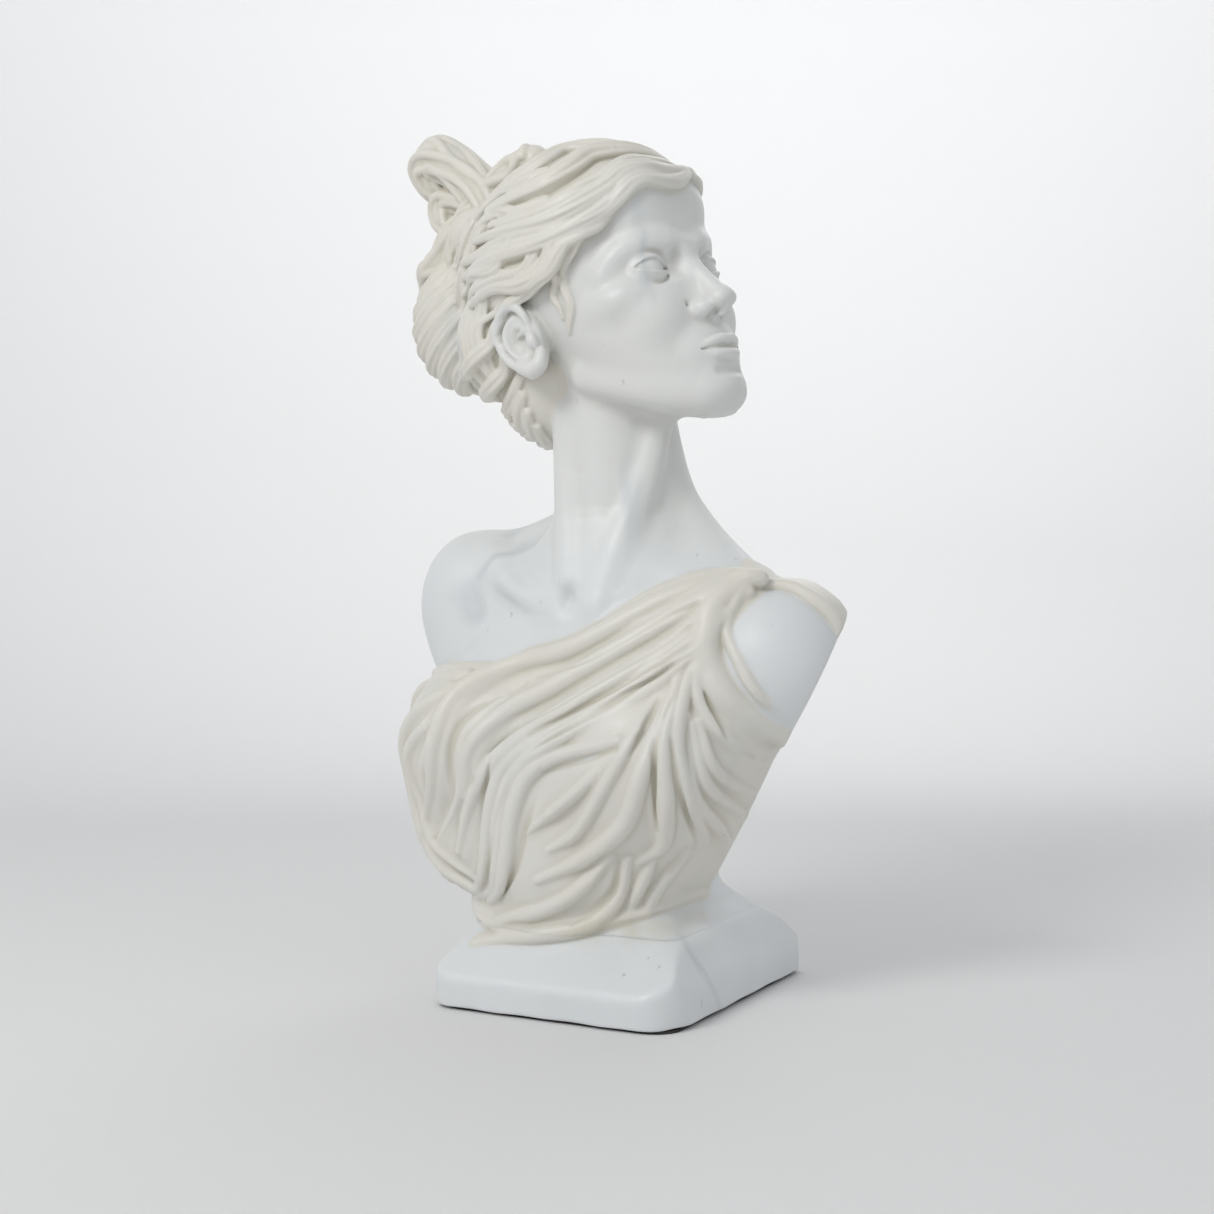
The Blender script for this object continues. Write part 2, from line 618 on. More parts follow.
def carve_nose(clay):
    """The bridge, the tip, the wings with their creases, and the nostrils."""
    head_ridge(clay, [(0, -84, 12), (0, -89, 0), (0, -99, -17), (0, -108, -33)], (8, 6.5, 6.5, 8), 8)
    head_ridge(clay, [(0, -76, 4), (0, -82, -20), (0, -90, -36)], (9, 13, 13), 8)
    head_form(clay, (0, -110, -36), (9, 9.5, 8.5), 4)
    for side in (-1, 1):
        head_form(clay, (side * 5, -111, -37), (6, 7, 6), 3)
        head_form(clay, (side * 12, -97, -40), (6.5, 10, 7), 4, (0, 0, side * -12))
        head_ridge(clay, [(side * 16, -98, -31), (side * 19.5, -90, -34), (side * 20.5, -86, -41)],
                   (0.8, 1.2, 1.0), 3, carve=True)
        head_form(clay, (side * 6.8, -103, -47), (3.3, 6.5, 4.2), 1.5, (0, 0, side * -10), carve=True)
    head_ridge(clay, [(0, -113, -43), (0, -105, -47), (0, -98, -49)], (3.2, 2.8, 3.5), 2)


def carve_mouth(clay):
    """Two lips, the line between them, and the hollows over and under them."""
    head_ridge(clay, [(0, -102, -51), (0, -106, -60)], (2.6, 3.0), 3, carve=True)
    head_ridge(clay, [(-25, -88, -71), (-15, -98.5, -67.5), (-6, -103, -65.5), (0, -103.5, -66.5),
                      (6, -103, -65.5), (15, -98.5, -67.5), (25, -88, -71)],
               (1.2, 3.2, 4.0, 4.0, 4.0, 3.2, 1.2), 1.8)
    head_ridge(clay, [(-22, -90, -73), (-11, -98.5, -76.5), (0, -101, -77.5), (11, -98.5, -76.5),
                      (22, -90, -73)], (1.4, 4.4, 5.0, 4.4, 1.4), 1.8)
    head_ridge(clay, [(-26, -88, -71), (-13, -102, -71.5), (0, -107.5, -71.5), (13, -102, -71.5),
                      (26, -88, -71)], (1.0, 1.0, 1.0), 1.0, carve=True)
    head_ridge(clay, [(-12, -100, -89.5), (0, -103, -90), (12, -100, -89.5)], (3, 4, 3), 4, carve=True)


def carve_ear(clay, side):
    """A rim, an inner fold, a bowl, a tragus and a lobe on a thin leaning plate."""
    place = HEAD.inner((side * 74, 28, -18), (-12, 0, side * 10))
    grown = 1.04

    def spot(out, back, up):
        return place.point((side * out * grown, back * grown, up * grown))

    def piece(at, radii, blend, carve=False):
        oval(clay, Place(spot(*at), place.turn), np.array(radii) * grown, blend, carve)

    def cord(rows, radii, blend, carve=False):
        ridge(clay, [spot(*row) for row in rows], np.array(radii) * grown, blend, carve)

    piece((-6, 4, -2), (9, 17, 24), 9)
    piece((-1, 5, 1), (8, 22, 28), 6)
    cord([(1, -10, 0), (4, -14, 8), (6, -12, 19), (7, -3, 26), (8, 9, 25), (8, 19, 17), (8, 22, 3),
          (7, 18, -10), (5, 11, -19)], (2.4, 3.0, 3.4, 3.6, 3.8, 3.8, 3.6, 3.4, 3.4), 2)
    cord([(5, 9, -19), (5, 1, -26), (3, -7, -26), (1, -12, -19)], (5.5, 7, 6, 4), 4)
    cord([(5, 0, 17), (6.5, 9, 14), (7.5, 13, 4), (6.5, 10, -8), (5, 4, -14)], (2.2, 3.2, 3.4, 3, 2.2), 3)
    piece((9, 1, -1), (8, 9, 11), 2.5, carve=True)
    cord([(7, -9, 8), (8, -4, 19), (9, 7, 19), (9.5, 15.5, 12), (9.5, 17, 0)], (1.4, 1.8, 1.8, 1.8, 1.2), 2,
         carve=True)
    cord([(3, -12, 2), (4, -4, 3), (4, 3, 4)], (2.4, 2, 1.2), 2)
    piece((5, -12, -8), (4, 4.5, 7), 3)
    piece((6, 3, -16), (3, 6, 3.5), 2.5)


def carve_head(clay):
    carve_skull(clay)
    carve_brows(clay)
    carve_nose(clay)
    carve_mouth(clay)
    for side in (-1, 1):
        carve_eye(clay, side)
        carve_ear(clay, side)


# ---- the hair ----
# A place on a shell of hair is (turn, rise): degrees from the front towards her right, and upwards.
class Shell:
    """An oval in the head's or the chest's frame, with places on it."""

    def __init__(self, centre, radii):
        self.centre = np.array(centre, float)
        self.radii = np.array(radii, float)

    def at(self, turn, rise, lift=0.0):
        a, e = math.radians(turn), math.radians(rise)
        out = np.array((-math.sin(a) * math.cos(e), -math.cos(a) * math.cos(e), math.sin(e)))
        return self.centre + out * (self.radii + lift)

    def line(self, pairs, lift=0.0):
        return np.array([self.at(turn, rise, lift) for turn, rise in pairs])


CROWN = Shell((0, 10, 34), (88, 108, 94))
NAPE = Shell((0, 54, -42), (64, 64, 58))
BUN = Shell((0, 142, 36), (50, 57, 57))
PARTING = -20
WAVE = 1.6  # degrees that a lock sways to each side
HAIRLINE = [(-180, -62), (-150, -56), (-134, -36), (-118, -13), (-80, -14), (-72, -8), (-62, 2), (-50, 11),
            (-38, 18), (PARTING, 24), (0, 18), (19, 14), (33, 10), (44, 4), (53, -1), (62, -7), (72, -13),
            (100, -14), (118, -13), (134, -36), (150, -56), (180, -62)]


def behind_ear(side):
    """The shell of hair that is combed back behind an ear."""
    return Shell((side * 34, 74, -4), (44, 44, 52))


def other_side(pairs):
    """A lock of her right side, swept to her left side from the parting."""
    return [(PARTING - (turn - PARTING) * 0.8, rise) for turn, rise in pairs]


def cover_crown(clay):
    """The mass of hair under the locks, behind the hairline."""
    under = 3.0
    place = HEAD.inner(CROWN.centre)
    spans, grid = clay.window(*reach(place, CROWN.radii, 8))
    cap = oval_distance(place, grid, CROWN.radii - under)
    x, y, z = local(place, grid)
    x, y, z = x / CROWN.radii[0], y / CROWN.radii[1], z / CROWN.radii[2]
    turn = np.degrees(np.arctan2(-x, -y))
    rise = np.degrees(np.arctan2(z, np.sqrt(x * x + y * y)))
    turns, rises = np.array(HAIRLINE, float).T
    per_degree = math.radians(1) * CROWN.radii.mean()
    before = (np.interp(turn, turns, rises) - rise) * per_degree
    clay.join(spans, soft_max(cap, before.astype(np.float32), 6), 2.5)


def hair_masses(clay):
    """The rounded masses that the locks lie on: crown, nape, sides, back and bun."""
    cover_crown(clay)
    head_form(clay, NAPE.centre, NAPE.radii - 3.0, 6)
    for side in (-1, 1):
        shell = behind_ear(side)
        head_form(clay, shell.centre, shell.radii - 2.0, 8)
    head_ridge(clay, [(0, 70, 44), (0, 122, 40)], (54, 46), 10)
    head_form(clay, (-10, 98, 98), (34, 30, 26), 10)
    head_form(clay, BUN.centre, BUN.radii - 2.0, 6)


def dropped(clay, shell, pairs, lift):
    """A waving line of places on a shell, dropped onto the clay and lifted a little off it."""
    fine = smooth_line(pairs, 28)
    s = np.linspace(0, 1, len(fine))
    across = np.gradient(fine, axis=0)[:, ::-1] * (1, -1)
    across /= np.linalg.norm(across, axis=1)[:, None] + 1e-6
    sway = WAVE * np.sin(s * math.pi) * np.sin(s * 3 * math.pi + 0.37 * pairs[0][0])
    fine = fine + across * sway[:, None]
    rays = np.linspace(1.45, 0.45, 150)  # from outside the shell inwards, in shell radii
    out = np.array([shell.at(turn, rise) - shell.centre for turn, rise in fine])
    points = shell.centre + rays[None, :, None] * out[:, None, :]
    values = sampled(clay.field, clay, HEAD.points(points.reshape(-1, 3))).reshape(len(fine), -1)
    inside = values < 0
    missed = 70  # the ray step nearest the shell itself
    first = np.where(inside.any(1), inside.argmax(1), missed)
    share = rays[first]
    kernel = np.array((1, 2, 3, 2, 1)) / 9
    share = np.convolve(np.pad(share, 2, "edge"), kernel, "valid")
    length = np.linalg.norm(out, axis=1)
    return shell.centre + out * (share + lift / length)[:, None]


def frames_along(path, seat, carried):
    """Outward and sideways directions along a path: away from a seat, or carried along without twist."""
    along = np.gradient(path, axis=0)
    along /= np.linalg.norm(along, axis=1)[:, None]
    out = path - np.array(seat, float)
    if carried:
        for i in range(1, len(out)):
            out[i] = out[i - 1] - (out[i - 1] @ along[i]) * along[i]
    out -= (out * along).sum(1)[:, None] * along
    out /= np.linalg.norm(out, axis=1)[:, None]
    return out, np.cross(along, out)


def lock(clay, path, width, strands=5, around=75, tips=(0.45, 0.35), seat=(0, 0, 0), wave=0.12):
    """A lock of hair: a tapering body with strands laid side by side along it.

    The strands wrap round the body by some degrees to each side; tips are the widths of its two ends,
    and the seat is the point that the lock's back faces.
    """
    path = smooth_line(path, 44)
    out, side = frames_along(path, seat, around > 120)
    s = np.linspace(0, 1, len(path))
    taper = np.interp(s, (0, 0.25, 0.7, 1), (tips[0], 0.9, 1.0, tips[1]))
    body = width / 2 * taper
    sunk = 0.35 if around < 120 else 0.0  # locks on the head are half buried, loose ones are not
    middle = path - out * (body * sunk)[:, None]
    along_head(clay, middle, body * 0.93, 1.5)
    strand = max(width / strands * around / 140, 1.3)
    for k in range(strands):
        share = (k + 0.5) / strands * 2 - 1
        sway = wave * np.sin(s * 2 * math.pi * 1.4 + k * 2.1 + width)
        turn = math.radians(around) * (share + sway)
        ring = np.cos(turn)[:, None] * out + np.sin(turn)[:, None] * side
        rise = strand * (0.18 - 0.22 * ((k * 3) % 4) / 3)
        line = middle + ring * (body - strand * 0.6 + rise)[:, None]
        along_head(clay, line, strand * (0.85 + 0.3 * taper), 1.0)


def along_head(clay, path, radii, blend):
    """A ridge in the head's frame with a radius for each point of its path."""
    length = np.linalg.norm(np.diff(path, axis=0), axis=1).sum()
    count = max(int(length / (2.2 * STEP)), 4)
    s, t = np.linspace(0, 1, len(path)), np.linspace(0, 1, count)
    line = np.stack([np.interp(t, s, path[:, i]) for i in range(3)], 1)
    sizes = np.interp(t, s, np.broadcast_to(radii, len(path)))
    spans, distance = line_distance(clay, HEAD.points(line), sizes, blend + 4)
    clay.join(spans, distance, blend)


# Locks of her right side: places along the lock, its width, and how far it stands off the head.
SIDE_LOCKS = [
    ([(-18, 40), (-8, 52), (8, 62), (28, 68), (52, 68), (74, 58), (96, 50), (122, 44)], 22, 3),
    ([(-19, 36), (-8, 43), (16, 48), (35, 47), (50, 38), (66, 34), (84, 36), (110, 38)], 20, 6),
    ([(-20, 31), (0, 34), (20, 33), (35, 26), (46, 22), (60, 19), (78, 21), (104, 28)], 18, 4),
    ([(-20, 25), (-2, 24), (14, 26), (28, 25), (38, 19), (52, 14), (68, 13), (88, 18), (116, 24)], 17, 7),
    ([(8, 19), (20, 21), (32, 20), (42, 12), (56, 9), (72, 10), (92, 13), (116, 16), (136, 20)], 15, 4),
    ([(22, 16), (34, 13), (46, 7), (58, 5), (72, 6), (90, 8), (112, 10), (134, 12)], 14, 6),
    ([(38, 9), (48, 3), (57, 3), (66, 1), (72, -5), (81, -8), (92, -8), (106, -4), (124, -4)], 15, 4),
    ([(47, 2), (56, 0), (63, 0), (68, -4), (73, -10), (80, -13), (92, -15), (106, -14), (122, -14)], 12, 6),
    ([(64, 8), (72, 5), (78, 3), (84, -3), (92, -4), (104, -1), (120, 2), (136, 2)], 13, 3),
    ([(78, 12), (88, 11), (98, 6), (110, 6), (124, 8), (140, 6)], 12, 5),
    ([(66, 26), (84, 28), (104, 34), (124, 34)], 14, 2),
    ([(64, 46), (84, 46), (106, 46), (128, 40)], 15, 4),
    ([(-20, 24), (-6, 20), (10, 18), (24, 16), (36, 11), (46, 5)], 15, 6),
]
TENDRILS = [
    ([(56, -1), (61, -6), (66, -11), (69, -17), (71, -23), (70, -29), (72, -35), (76, -40)], 7),
    ([(60, 1), (66, -4), (72, -9), (75, -15), (77, -21), (75, -27), (76, -33)], 6),
]
TOP_LOCKS = [
    ([(30, 72), (80, 70), (120, 58), (150, 44)], 22),
    ([(150, 84), (158, 66), (164, 48), (170, 36)], 24),
    ([(-90, 84), (-150, 70), (-172, 52), (-178, 38)], 24),
    ([(-18, 46), (-16, 62), (0, 78), (60, 84), (110, 66)], 22),
    ([(-22, 50), (-60, 66), (-100, 70), (-130, 56)], 20),
    ([(-21, 56), (-50, 76), (-120, 82), (-160, 64)], 20),
]


def lay_locks(clay):
    """The locks over the crown and the temples; those of her right side are repeated on her left."""
    seat = CROWN.centre * 0.6
    laid = []
    for pairs, width, lift in SIDE_LOCKS:
        laid += [(line, width, 5, lift) for line in (pairs, other_side(pairs))]
    for pairs, width in TENDRILS:
        laid += [(line, width, 3, 3.2) for line in (pairs, other_side(pairs))]
    laid += [(pairs, width, 6, 2) for pairs, width in TOP_LOCKS]
    paths = [dropped(clay, CROWN, line, lift - 2) for line, _, _, lift in laid]
    for path, (_, width, strands, _) in zip(paths, laid):
        lock(clay, path, width, strands, seat=seat)


def lay_over_back(clay):
    """Locks that run from the foot of the topknot over the back of the head towards the bun."""
    lines = [[(-50, 40, 96), (-54, 74, 92), (-56, 102, 74), (-54, 118, 48)],
             [(-34, 50, 106), (-34, 86, 98), (-30, 114, 78), (-26, 132, 54)],
             [(-68, 40, 84), (-70, 70, 76), (-66, 96, 58), (-58, 110, 34)],
             [(-12, 56, 112), (-6, 92, 102), (6, 118, 80), (14, 132, 56)],
             [(14, 52, 110), (26, 84, 98), (38, 106, 74), (42, 116, 50)],
             [(38, 40, 104), (52, 70, 90), (60, 92, 66), (60, 102, 42)],
             [(58, 30, 92), (70, 56, 78), (74, 78, 56), (70, 92, 34)]]
    for line in lines:
        lock(clay, snapped(clay, line), 20, 5, seat=CROWN.centre)


def snapped(clay, points):
    """The head-frame points of a line, moved onto the clay that is already there."""
    points = smooth_line(points, 20)

    def value(shift=0.0):
        return sampled(clay.field, clay, HEAD.points(points + shift))

    for _ in range(12):
        slope = slope_of(value, 1.0)
        steep = (slope**2).sum(1) + 0.05
        points = points - slope * np.clip(value() / steep, -8, 8)[:, None]
    return points


def lay_behind_ears(clay):
    """Locks that fall behind each ear, and the waves that sweep from them to the nape."""
    falls = [[(52, 40), (76, 26), (90, 4), (94, -20), (92, -44)],
             [(72, 46), (98, 28), (110, 4), (114, -20), (112, -46)],
             [(96, 48), (122, 26), (132, 2), (136, -22), (132, -48)],
             [(126, 44), (146, 22), (154, 0), (158, -24), (152, -50)]]
    waves = [[(80 + 5 * row, rise + 11), (103 + 4 * row, rise - 2), (130, rise - 5), (158, rise + 3),
              (182, rise + 6)] for row, rise in enumerate((24, 8, -8, -22, -36, -50))]
    for side in (-1, 1):
        shell = behind_ear(side)
        paths = [dropped(clay, shell, [(-side * turn, rise) for turn, rise in fall], 1.5) for fall in falls]
        for path in paths:
            lock(clay, path, 17, 5, seat=shell.centre)
        for wave in waves:
            path = dropped(clay, NAPE, [(-side * turn, rise) for turn, rise in wave], 1)
            lock(clay, path, 16, 4, seat=NAPE.centre)


def wind_bun(clay):
    """Locks wound round both sides of the bun, one above the other."""
    for side in (-1, 1):
        for rise in (62, 46, 30, 14, -2, -18, -34, -50):
            pairs = [(side * turn, rise + lift) for turn, lift in
                     ((40, 26), (66, 16), (96, 3), (130, -6), (160, -8), (182, -4))]
            lock(clay, BUN.line(pairs), 17, 5, seat=BUN.centre)


def tie_topknot(clay):
    """Loops of hair drawn up over the crown, and the end that hangs over the bun."""
    lock(clay, [(-12, 78, 112), (-12, 95, 140), (-12, 113, 165), (-10, 130, 180), (-8, 143, 178),
                (-5, 146, 164), (0, 138, 154)], 38, 13, 170, tips=(1.0, 0.5), seat=(-60, 96, 150))
    lock(clay, [(-8, 92, 118), (-6, 116, 136), (-4, 136, 148), (-3, 146, 140), (-4, 142, 126),
                (-8, 132, 112)], 27, 9, 170, tips=(0.9, 0.7), seat=(-60, 110, 125))
    lock(clay, [(-10, 96, 116), (-13, 64, 128), (-14, 38, 131), (-14, 24, 131)], 30, 9, 170,
         tips=(0.9, 0.95), seat=(-60, 50, 110))
    lock(clay, [(6, 96, 116), (18, 78, 130), (30, 66, 134), (40, 64, 126)], 26, 8, 170,
         tips=(0.9, 0.8), seat=(20, 60, 100))
    lock(clay, [(-32, 80, 112), (-33, 104, 108), (-28, 124, 92), (-22, 136, 70)], 20, 6, 90,
         seat=(0, 80, 60))
    lock(clay, [(-12, 112, 124), (-16, 132, 112), (-14, 152, 99), (-12, 174, 95), (-8, 190, 84)], 24, 8,
         150, seat=(0, 140, 60))


def carve_hair(clay):
    hair_masses(clay)
    lay_over_back(clay)
    lay_behind_ears(clay)
    wind_bun(clay)
    lay_locks(clay)
    tie_topknot(clay)


# ---- foot and socle ----
def rounded_block_distance(grid, half_x, half_y, corner):
    """A rounded rectangle in plan; the half sizes may change with height."""
    x, y, _ = grid
    qx = np.abs(x) - (half_x - corner)
    qy = np.abs(y) - (half_y - corner)
    outside = np.sqrt(np.maximum(qx, 0) ** 2 + np.maximum(qy, 0) ** 2)
    return outside + np.minimum(np.maximum(qx, qy), 0) - corner


SLAB_TOP = 25.0  # height of the slab's upright edge
SLAB_CORNER, NEAR_CORNER = 20.0, 36.0  # the front left corner is more worn than the others
LEDGE = 45.0  # where the shallow slopes over the ends would meet the slab's edge


def foot_distance(grid):
    """The slab, and the slopes that rise from its edges; at the two ends the first facet is steep.

    A few tenths of a millimetre of unevenness are left by the hand that dressed the stone.
    """
    x, y, z = grid

    def slope(inward, base, angle):
        turn = math.radians(angle)
        return (z - base) * math.cos(turn) - inward * math.sin(turn)

    end = HALF_WIDTH - np.abs(x)
    long_sides = soft_max(slope(y + HALF_DEPTH, SLAB_TOP, 38), slope(HALF_DEPTH - y, SLAB_TOP, 43), 8)
    upper = soft_max(long_sides, slope(end, LEDGE, 35), 10)
    upper = soft_max(upper, slope(end, SLAB_TOP, 62), 2.5)
    uneven = 0.3 * np.sin(x / 17 + 1) * np.sin(y / 23) * np.sin(z / 9 + 2) + 0.2 * np.sin(x / 7 + y / 9)
    corner = np.where((x > 0) & (y < 0), NEAR_CORNER, SLAB_CORNER)
    block = rounded_block_distance(grid, HALF_WIDTH - 0.4, HALF_DEPTH - 0.4, corner)
    bottom = SOCLE_LOW[2] - z
    return soft_max(soft_max(upper, block, 5), bottom, 2).astype(np.float32) + uneven.astype(np.float32)


def carve_foot(clay):
    spans, grid = clay.window((-130, -150, -5), (130, 150, JOINT + 60))
    clay.join(spans, foot_distance(grid), FOOT_BLEND)


def bore(clay, radius, bottom, top):
    """An upright round hole on the middle axis."""
    outer = radius + 8
    spans, (x, y, z) = clay.window((-outer, -outer, bottom - 8), (outer, outer, top + 8))
    side = np.sqrt(x * x + y * y) - radius
    clay.carve(spans, np.maximum(side, np.maximum(bottom - z, z - top)))


# ---- skins ----
def blurred(field, radius):
    """Three passes of a moving average along each axis."""
    cells = max(int(round(radius / STEP)), 1)
    kernel = np.ones(2 * cells + 1, np.float32) / (2 * cells + 1)
    out = field
    for axis in range(3):
        total = np.cumsum(np.pad(out, [(cells + 1, cells) if a == axis else (0, 0) for a in range(3)],
                                 "edge"), axis=axis, dtype=np.float64)
        width = 2 * cells + 1
        high = np.take(total, np.arange(width, total.shape[axis]), axis)
        low = np.take(total, np.arange(0, total.shape[axis] - width), axis)
        out = ((high - low) / width).astype(np.float32)
    return out


def sampled(values, clay, points):
    """Trilinear values of a grid at points in millimetres."""
    p = (points - clay.low) / STEP
    base = np.clip(p.astype(int), 0, np.array(values.shape) - 2)
    f = p - base
    total = np.zeros(len(points))
    for dx in (0, 1):
        for dy in (0, 1):
            for dz in (0, 1):
                weight = (np.abs(1 - dx - f[:, 0]) * np.abs(1 - dy - f[:, 1]) * np.abs(1 - dz - f[:, 2]))
                total += weight * values[base[:, 0] + dx, base[:, 1] + dy, base[:, 2] + dz]
    return total


def slope_of(value, reach_out):
    """How a value grows along x, y and z, from differences over a short reach to both sides."""
    return np.stack([value(shift) - value(-shift) for shift in np.eye(3) * reach_out], 1) / (2 * reach_out)


def settled(clay, points):
    """The points moved onto the surface itself."""
    def value(shift=0.0):
        return sampled(clay.field, clay, points + shift)

    half = STEP / 2
    slope = slope_of(value, half)
    steep = (slope**2).sum(1) + 0.05
    return points - slope * np.clip(value() / steep, -half, half)[:, None]


def skin(name, clay):
    """The clay's surface as a mesh object in metres."""
    grid = openvdb.FloatGrid(FAR)
    grid.copyFromArray(clay.field)
    points, quads = grid.convertToQuads(0.0)
    points = settled(clay, points * STEP + clay.low)
    mesh = bpy.data.meshes.new(name)
    mesh.vertices.add(len(points))
    mesh.vertices.foreach_set("co", (points * MM).astype(np.float32).ravel())
    mesh.loops.add(len(quads) * 4)
    mesh.loops.foreach_set("vertex_index", quads[:, ::-1].astype(np.int32).ravel())
    mesh.polygons.add(len(quads))
    mesh.polygons.foreach_set("loop_start", np.arange(0, len(quads) * 4, 4, dtype=np.int32))
    mesh.polygons.foreach_set("use_smooth", np.ones(len(quads), bool))
    mesh.update(calc_edges=True)
    mesh.validate()
    piece = bpy.data.objects.new(name, mesh)
    bpy.context.collection.objects.link(piece)
    return piece, points


def attribute(piece, name, values):
    """A number for each point of a skin, which its material reads."""
    layer = piece.data.attributes.new(name, "FLOAT", "POINT")
    layer.data.foreach_set("value", np.asarray(values, np.float32))


def seated(piece, points, whole, clay, level):
    """Moves the skin's points next to the joint onto its plane, and its rim onto the uncut surface."""
    near = np.abs(points[:, 2] - level) < 0.75 * STEP
    rim = points[near]
    rim[:, 2] = level

    def value(shift=0.0):
        return sampled(whole, clay, rim + shift)

    for _ in range(3):
        here = value()
        slope = slope_of(value, STEP / 2)[:, :2]
        steep = (slope**2).sum(1) + 0.02
        moved = np.abs(here) < 0.9 * STEP
        rim[moved, :2] -= (slope * (here / steep)[:, None])[moved]
    points[near] = rim
    piece.data.vertices.foreach_set("co", (points * MM).astype(np.float32).ravel())
    piece.data.update()
    piece.data.set_sharp_from_angle(angle=math.radians(62))


# ---- materials ----
def nodes_of(name):
    material = bpy.data.materials.new(name)
    material.use_nodes = True
    tree = material.node_tree
    return material, tree, tree.nodes["Principled BSDF"]


def node(tree, kind, **values):
    made = tree.nodes.new(kind)
    for name, value in values.items():
        if name in made.inputs:
            made.inputs[name].default_value = value
        else:
            setattr(made, name, value)
    return made


def between(tree, value, low, high, to_low=0.0, to_high=1.0):
    """Maps a value from one range onto another, and holds it there."""
    made = tree.nodes.new("ShaderNodeMapRange")
    tree.links.new(value, made.inputs["Value"])
    names = ("From Min", "From Max", "To Min", "To Max")
    for name, number in zip(names, (low, high, to_low, to_high)):
        made.inputs[name].default_value = number
    return made.outputs["Result"]


def maths(tree, operation, a, b):
    made = tree.nodes.new("ShaderNodeMath")
    made.operation = operation
    for socket, value in zip(made.inputs, (a, b)):
        if isinstance(value, (int, float)):
            socket.default_value = value
        else:
            tree.links.new(value, socket)
    return made.outputs[0]


def times(tree, a, b):
    return maths(tree, "MULTIPLY", a, b)


def mixed(tree, share, a, b):
    """A colour between two colours; each may be a plain colour or a socket."""
    made = tree.nodes.new("ShaderNodeMix")
    made.data_type = "RGBA"
    for socket, value in ((made.inputs[0], share), (made.inputs[6], a), (made.inputs[7], b)):
        if hasattr(value, "is_output"):
            tree.links.new(value, socket)
        else:
            socket.default_value = value if isinstance(value, (int, float)) else (*value, 1)
    return made.outputs[2]


def noise(tree, place, scale, detail=3.0, stretch=(1, 1, 1), distortion=0.0):
    mapping = tree.nodes.new("ShaderNodeMapping")
    mapping.inputs["Scale"].default_value = stretch
    tree.links.new(place, mapping.inputs["Vector"])
    made = node(tree, "ShaderNodeTexNoise", Scale=scale, Detail=detail, Distortion=distortion)
    tree.links.new(mapping.outputs["Vector"], made.inputs["Vector"])
    return made.outputs["Fac"]


def read(tree, name):
    made = tree.nodes.new("ShaderNodeAttribute")
    made.attribute_name = name
    return made.outputs["Fac"]


def raised(tree, shader, height, strength, depth):
    """Lets a texture stand up from the surface as a bump."""
    bump = node(tree, "ShaderNodeBump", Strength=strength, Distance=depth)
    tree.links.new(height, bump.inputs["Height"])
    tree.links.new(bump.outputs["Normal"], shader.inputs["Normal"])


def marble():
    """White marble: cool on skin and socle, cream in cloth and hair, with few grey veins and specks."""
    material, tree, shader = nodes_of("marble")
    place = tree.nodes.new("ShaderNodeTexCoord").outputs["Object"]
    cool, shaded, cream = (0.79, 0.815, 0.825), (0.70, 0.735, 0.75), (0.775, 0.75, 0.68)
    deep, grey, dark, rust = (0.50, 0.46, 0.35), (0.50, 0.54, 0.57), (0.24, 0.27, 0.30), (0.56, 0.50, 0.34)
    cloud = between(tree, noise(tree, place, 9, 4), 0.42, 0.68)
    colour = mixed(tree, times(tree, cloud, 0.35), cool, shaded)
    drift = between(tree, noise(tree, place, 7, 2), 0.3, 0.6, 0.6, 1.0)
    warmth = read(tree, "warmth")
    colour = mixed(tree, times(tree, warmth, drift), colour, cream)
    hollow = read(tree, "recess")
    recess = times(tree, hollow, between(tree, warmth, 0, 1, 0.3, 0.8))
    colour = mixed(tree, recess, colour, deep)
    vein = noise(tree, place, 3.6, 4, (1, 1, 0.5), 0.35)
    off_vein = maths(tree, "ABSOLUTE", maths(tree, "SUBTRACT", vein, 0.5), 0)
    thin = between(tree, off_vein, 0.0, 0.02, 1.0, 0.0)
    sparse = between(tree, noise(tree, place, 6.1, 1), 0.52, 0.66)
    colour = mixed(tree, times(tree, times(tree, thin, sparse), 0.5), colour, grey)
    speck = between(tree, noise(tree, place, 150, 3, (1, 1, 0.5), 0.3), 0.69, 0.76)
    some = between(tree, noise(tree, place, 7, 1), 0.54, 0.62)
    colour = mixed(tree, times(tree, times(tree, speck, some), 0.35), colour, dark)
    stain = times(tree, read(tree, "stain"), between(tree, noise(tree, place, 26, 3), 0.4, 0.65))
    colour = mixed(tree, times(tree, stain, 0.55), colour, rust)
    tree.links.new(colour, shader.inputs["Base Color"])
    rough = between(tree, noise(tree, place, 30, 3), 0.3, 0.7, 0.36, 0.50)
    rough = maths(tree, "ADD", rough, times(tree, hollow, 0.15))
    tree.links.new(rough, shader.inputs["Roughness"])
    raised(tree, shader, noise(tree, place, 420, 3), 0.12, 0.0006)
    shader.inputs["Subsurface Weight"].default_value = 0.12
    shader.inputs["Subsurface Radius"].default_value = (1.0, 0.85, 0.7)
    shader.inputs["Subsurface Scale"].default_value = 0.005
    return material


def simple(name, colour, roughness, metallic=0.0, grain=400, depth=0.0002, patch=0.25):
    """A plain material with a fine grain and slightly uneven colour and shine."""
    material, tree, shader = nodes_of(name)
    place = tree.nodes.new("ShaderNodeTexCoord").outputs["Object"]
    uneven = noise(tree, place, 45, 4)
    darker = tuple(0.7 * c for c in colour)
    colour = mixed(tree, times(tree, uneven, patch), colour, darker)
    tree.links.new(colour, shader.inputs["Base Color"])
    shine = between(tree, uneven, 0.3, 0.7, roughness - 0.06, roughness + 0.08)
    tree.links.new(shine, shader.inputs["Roughness"])
    shader.inputs["Metallic"].default_value = metallic
    raised(tree, shader, noise(tree, place, grain, 2), 0.3, depth)
    return material


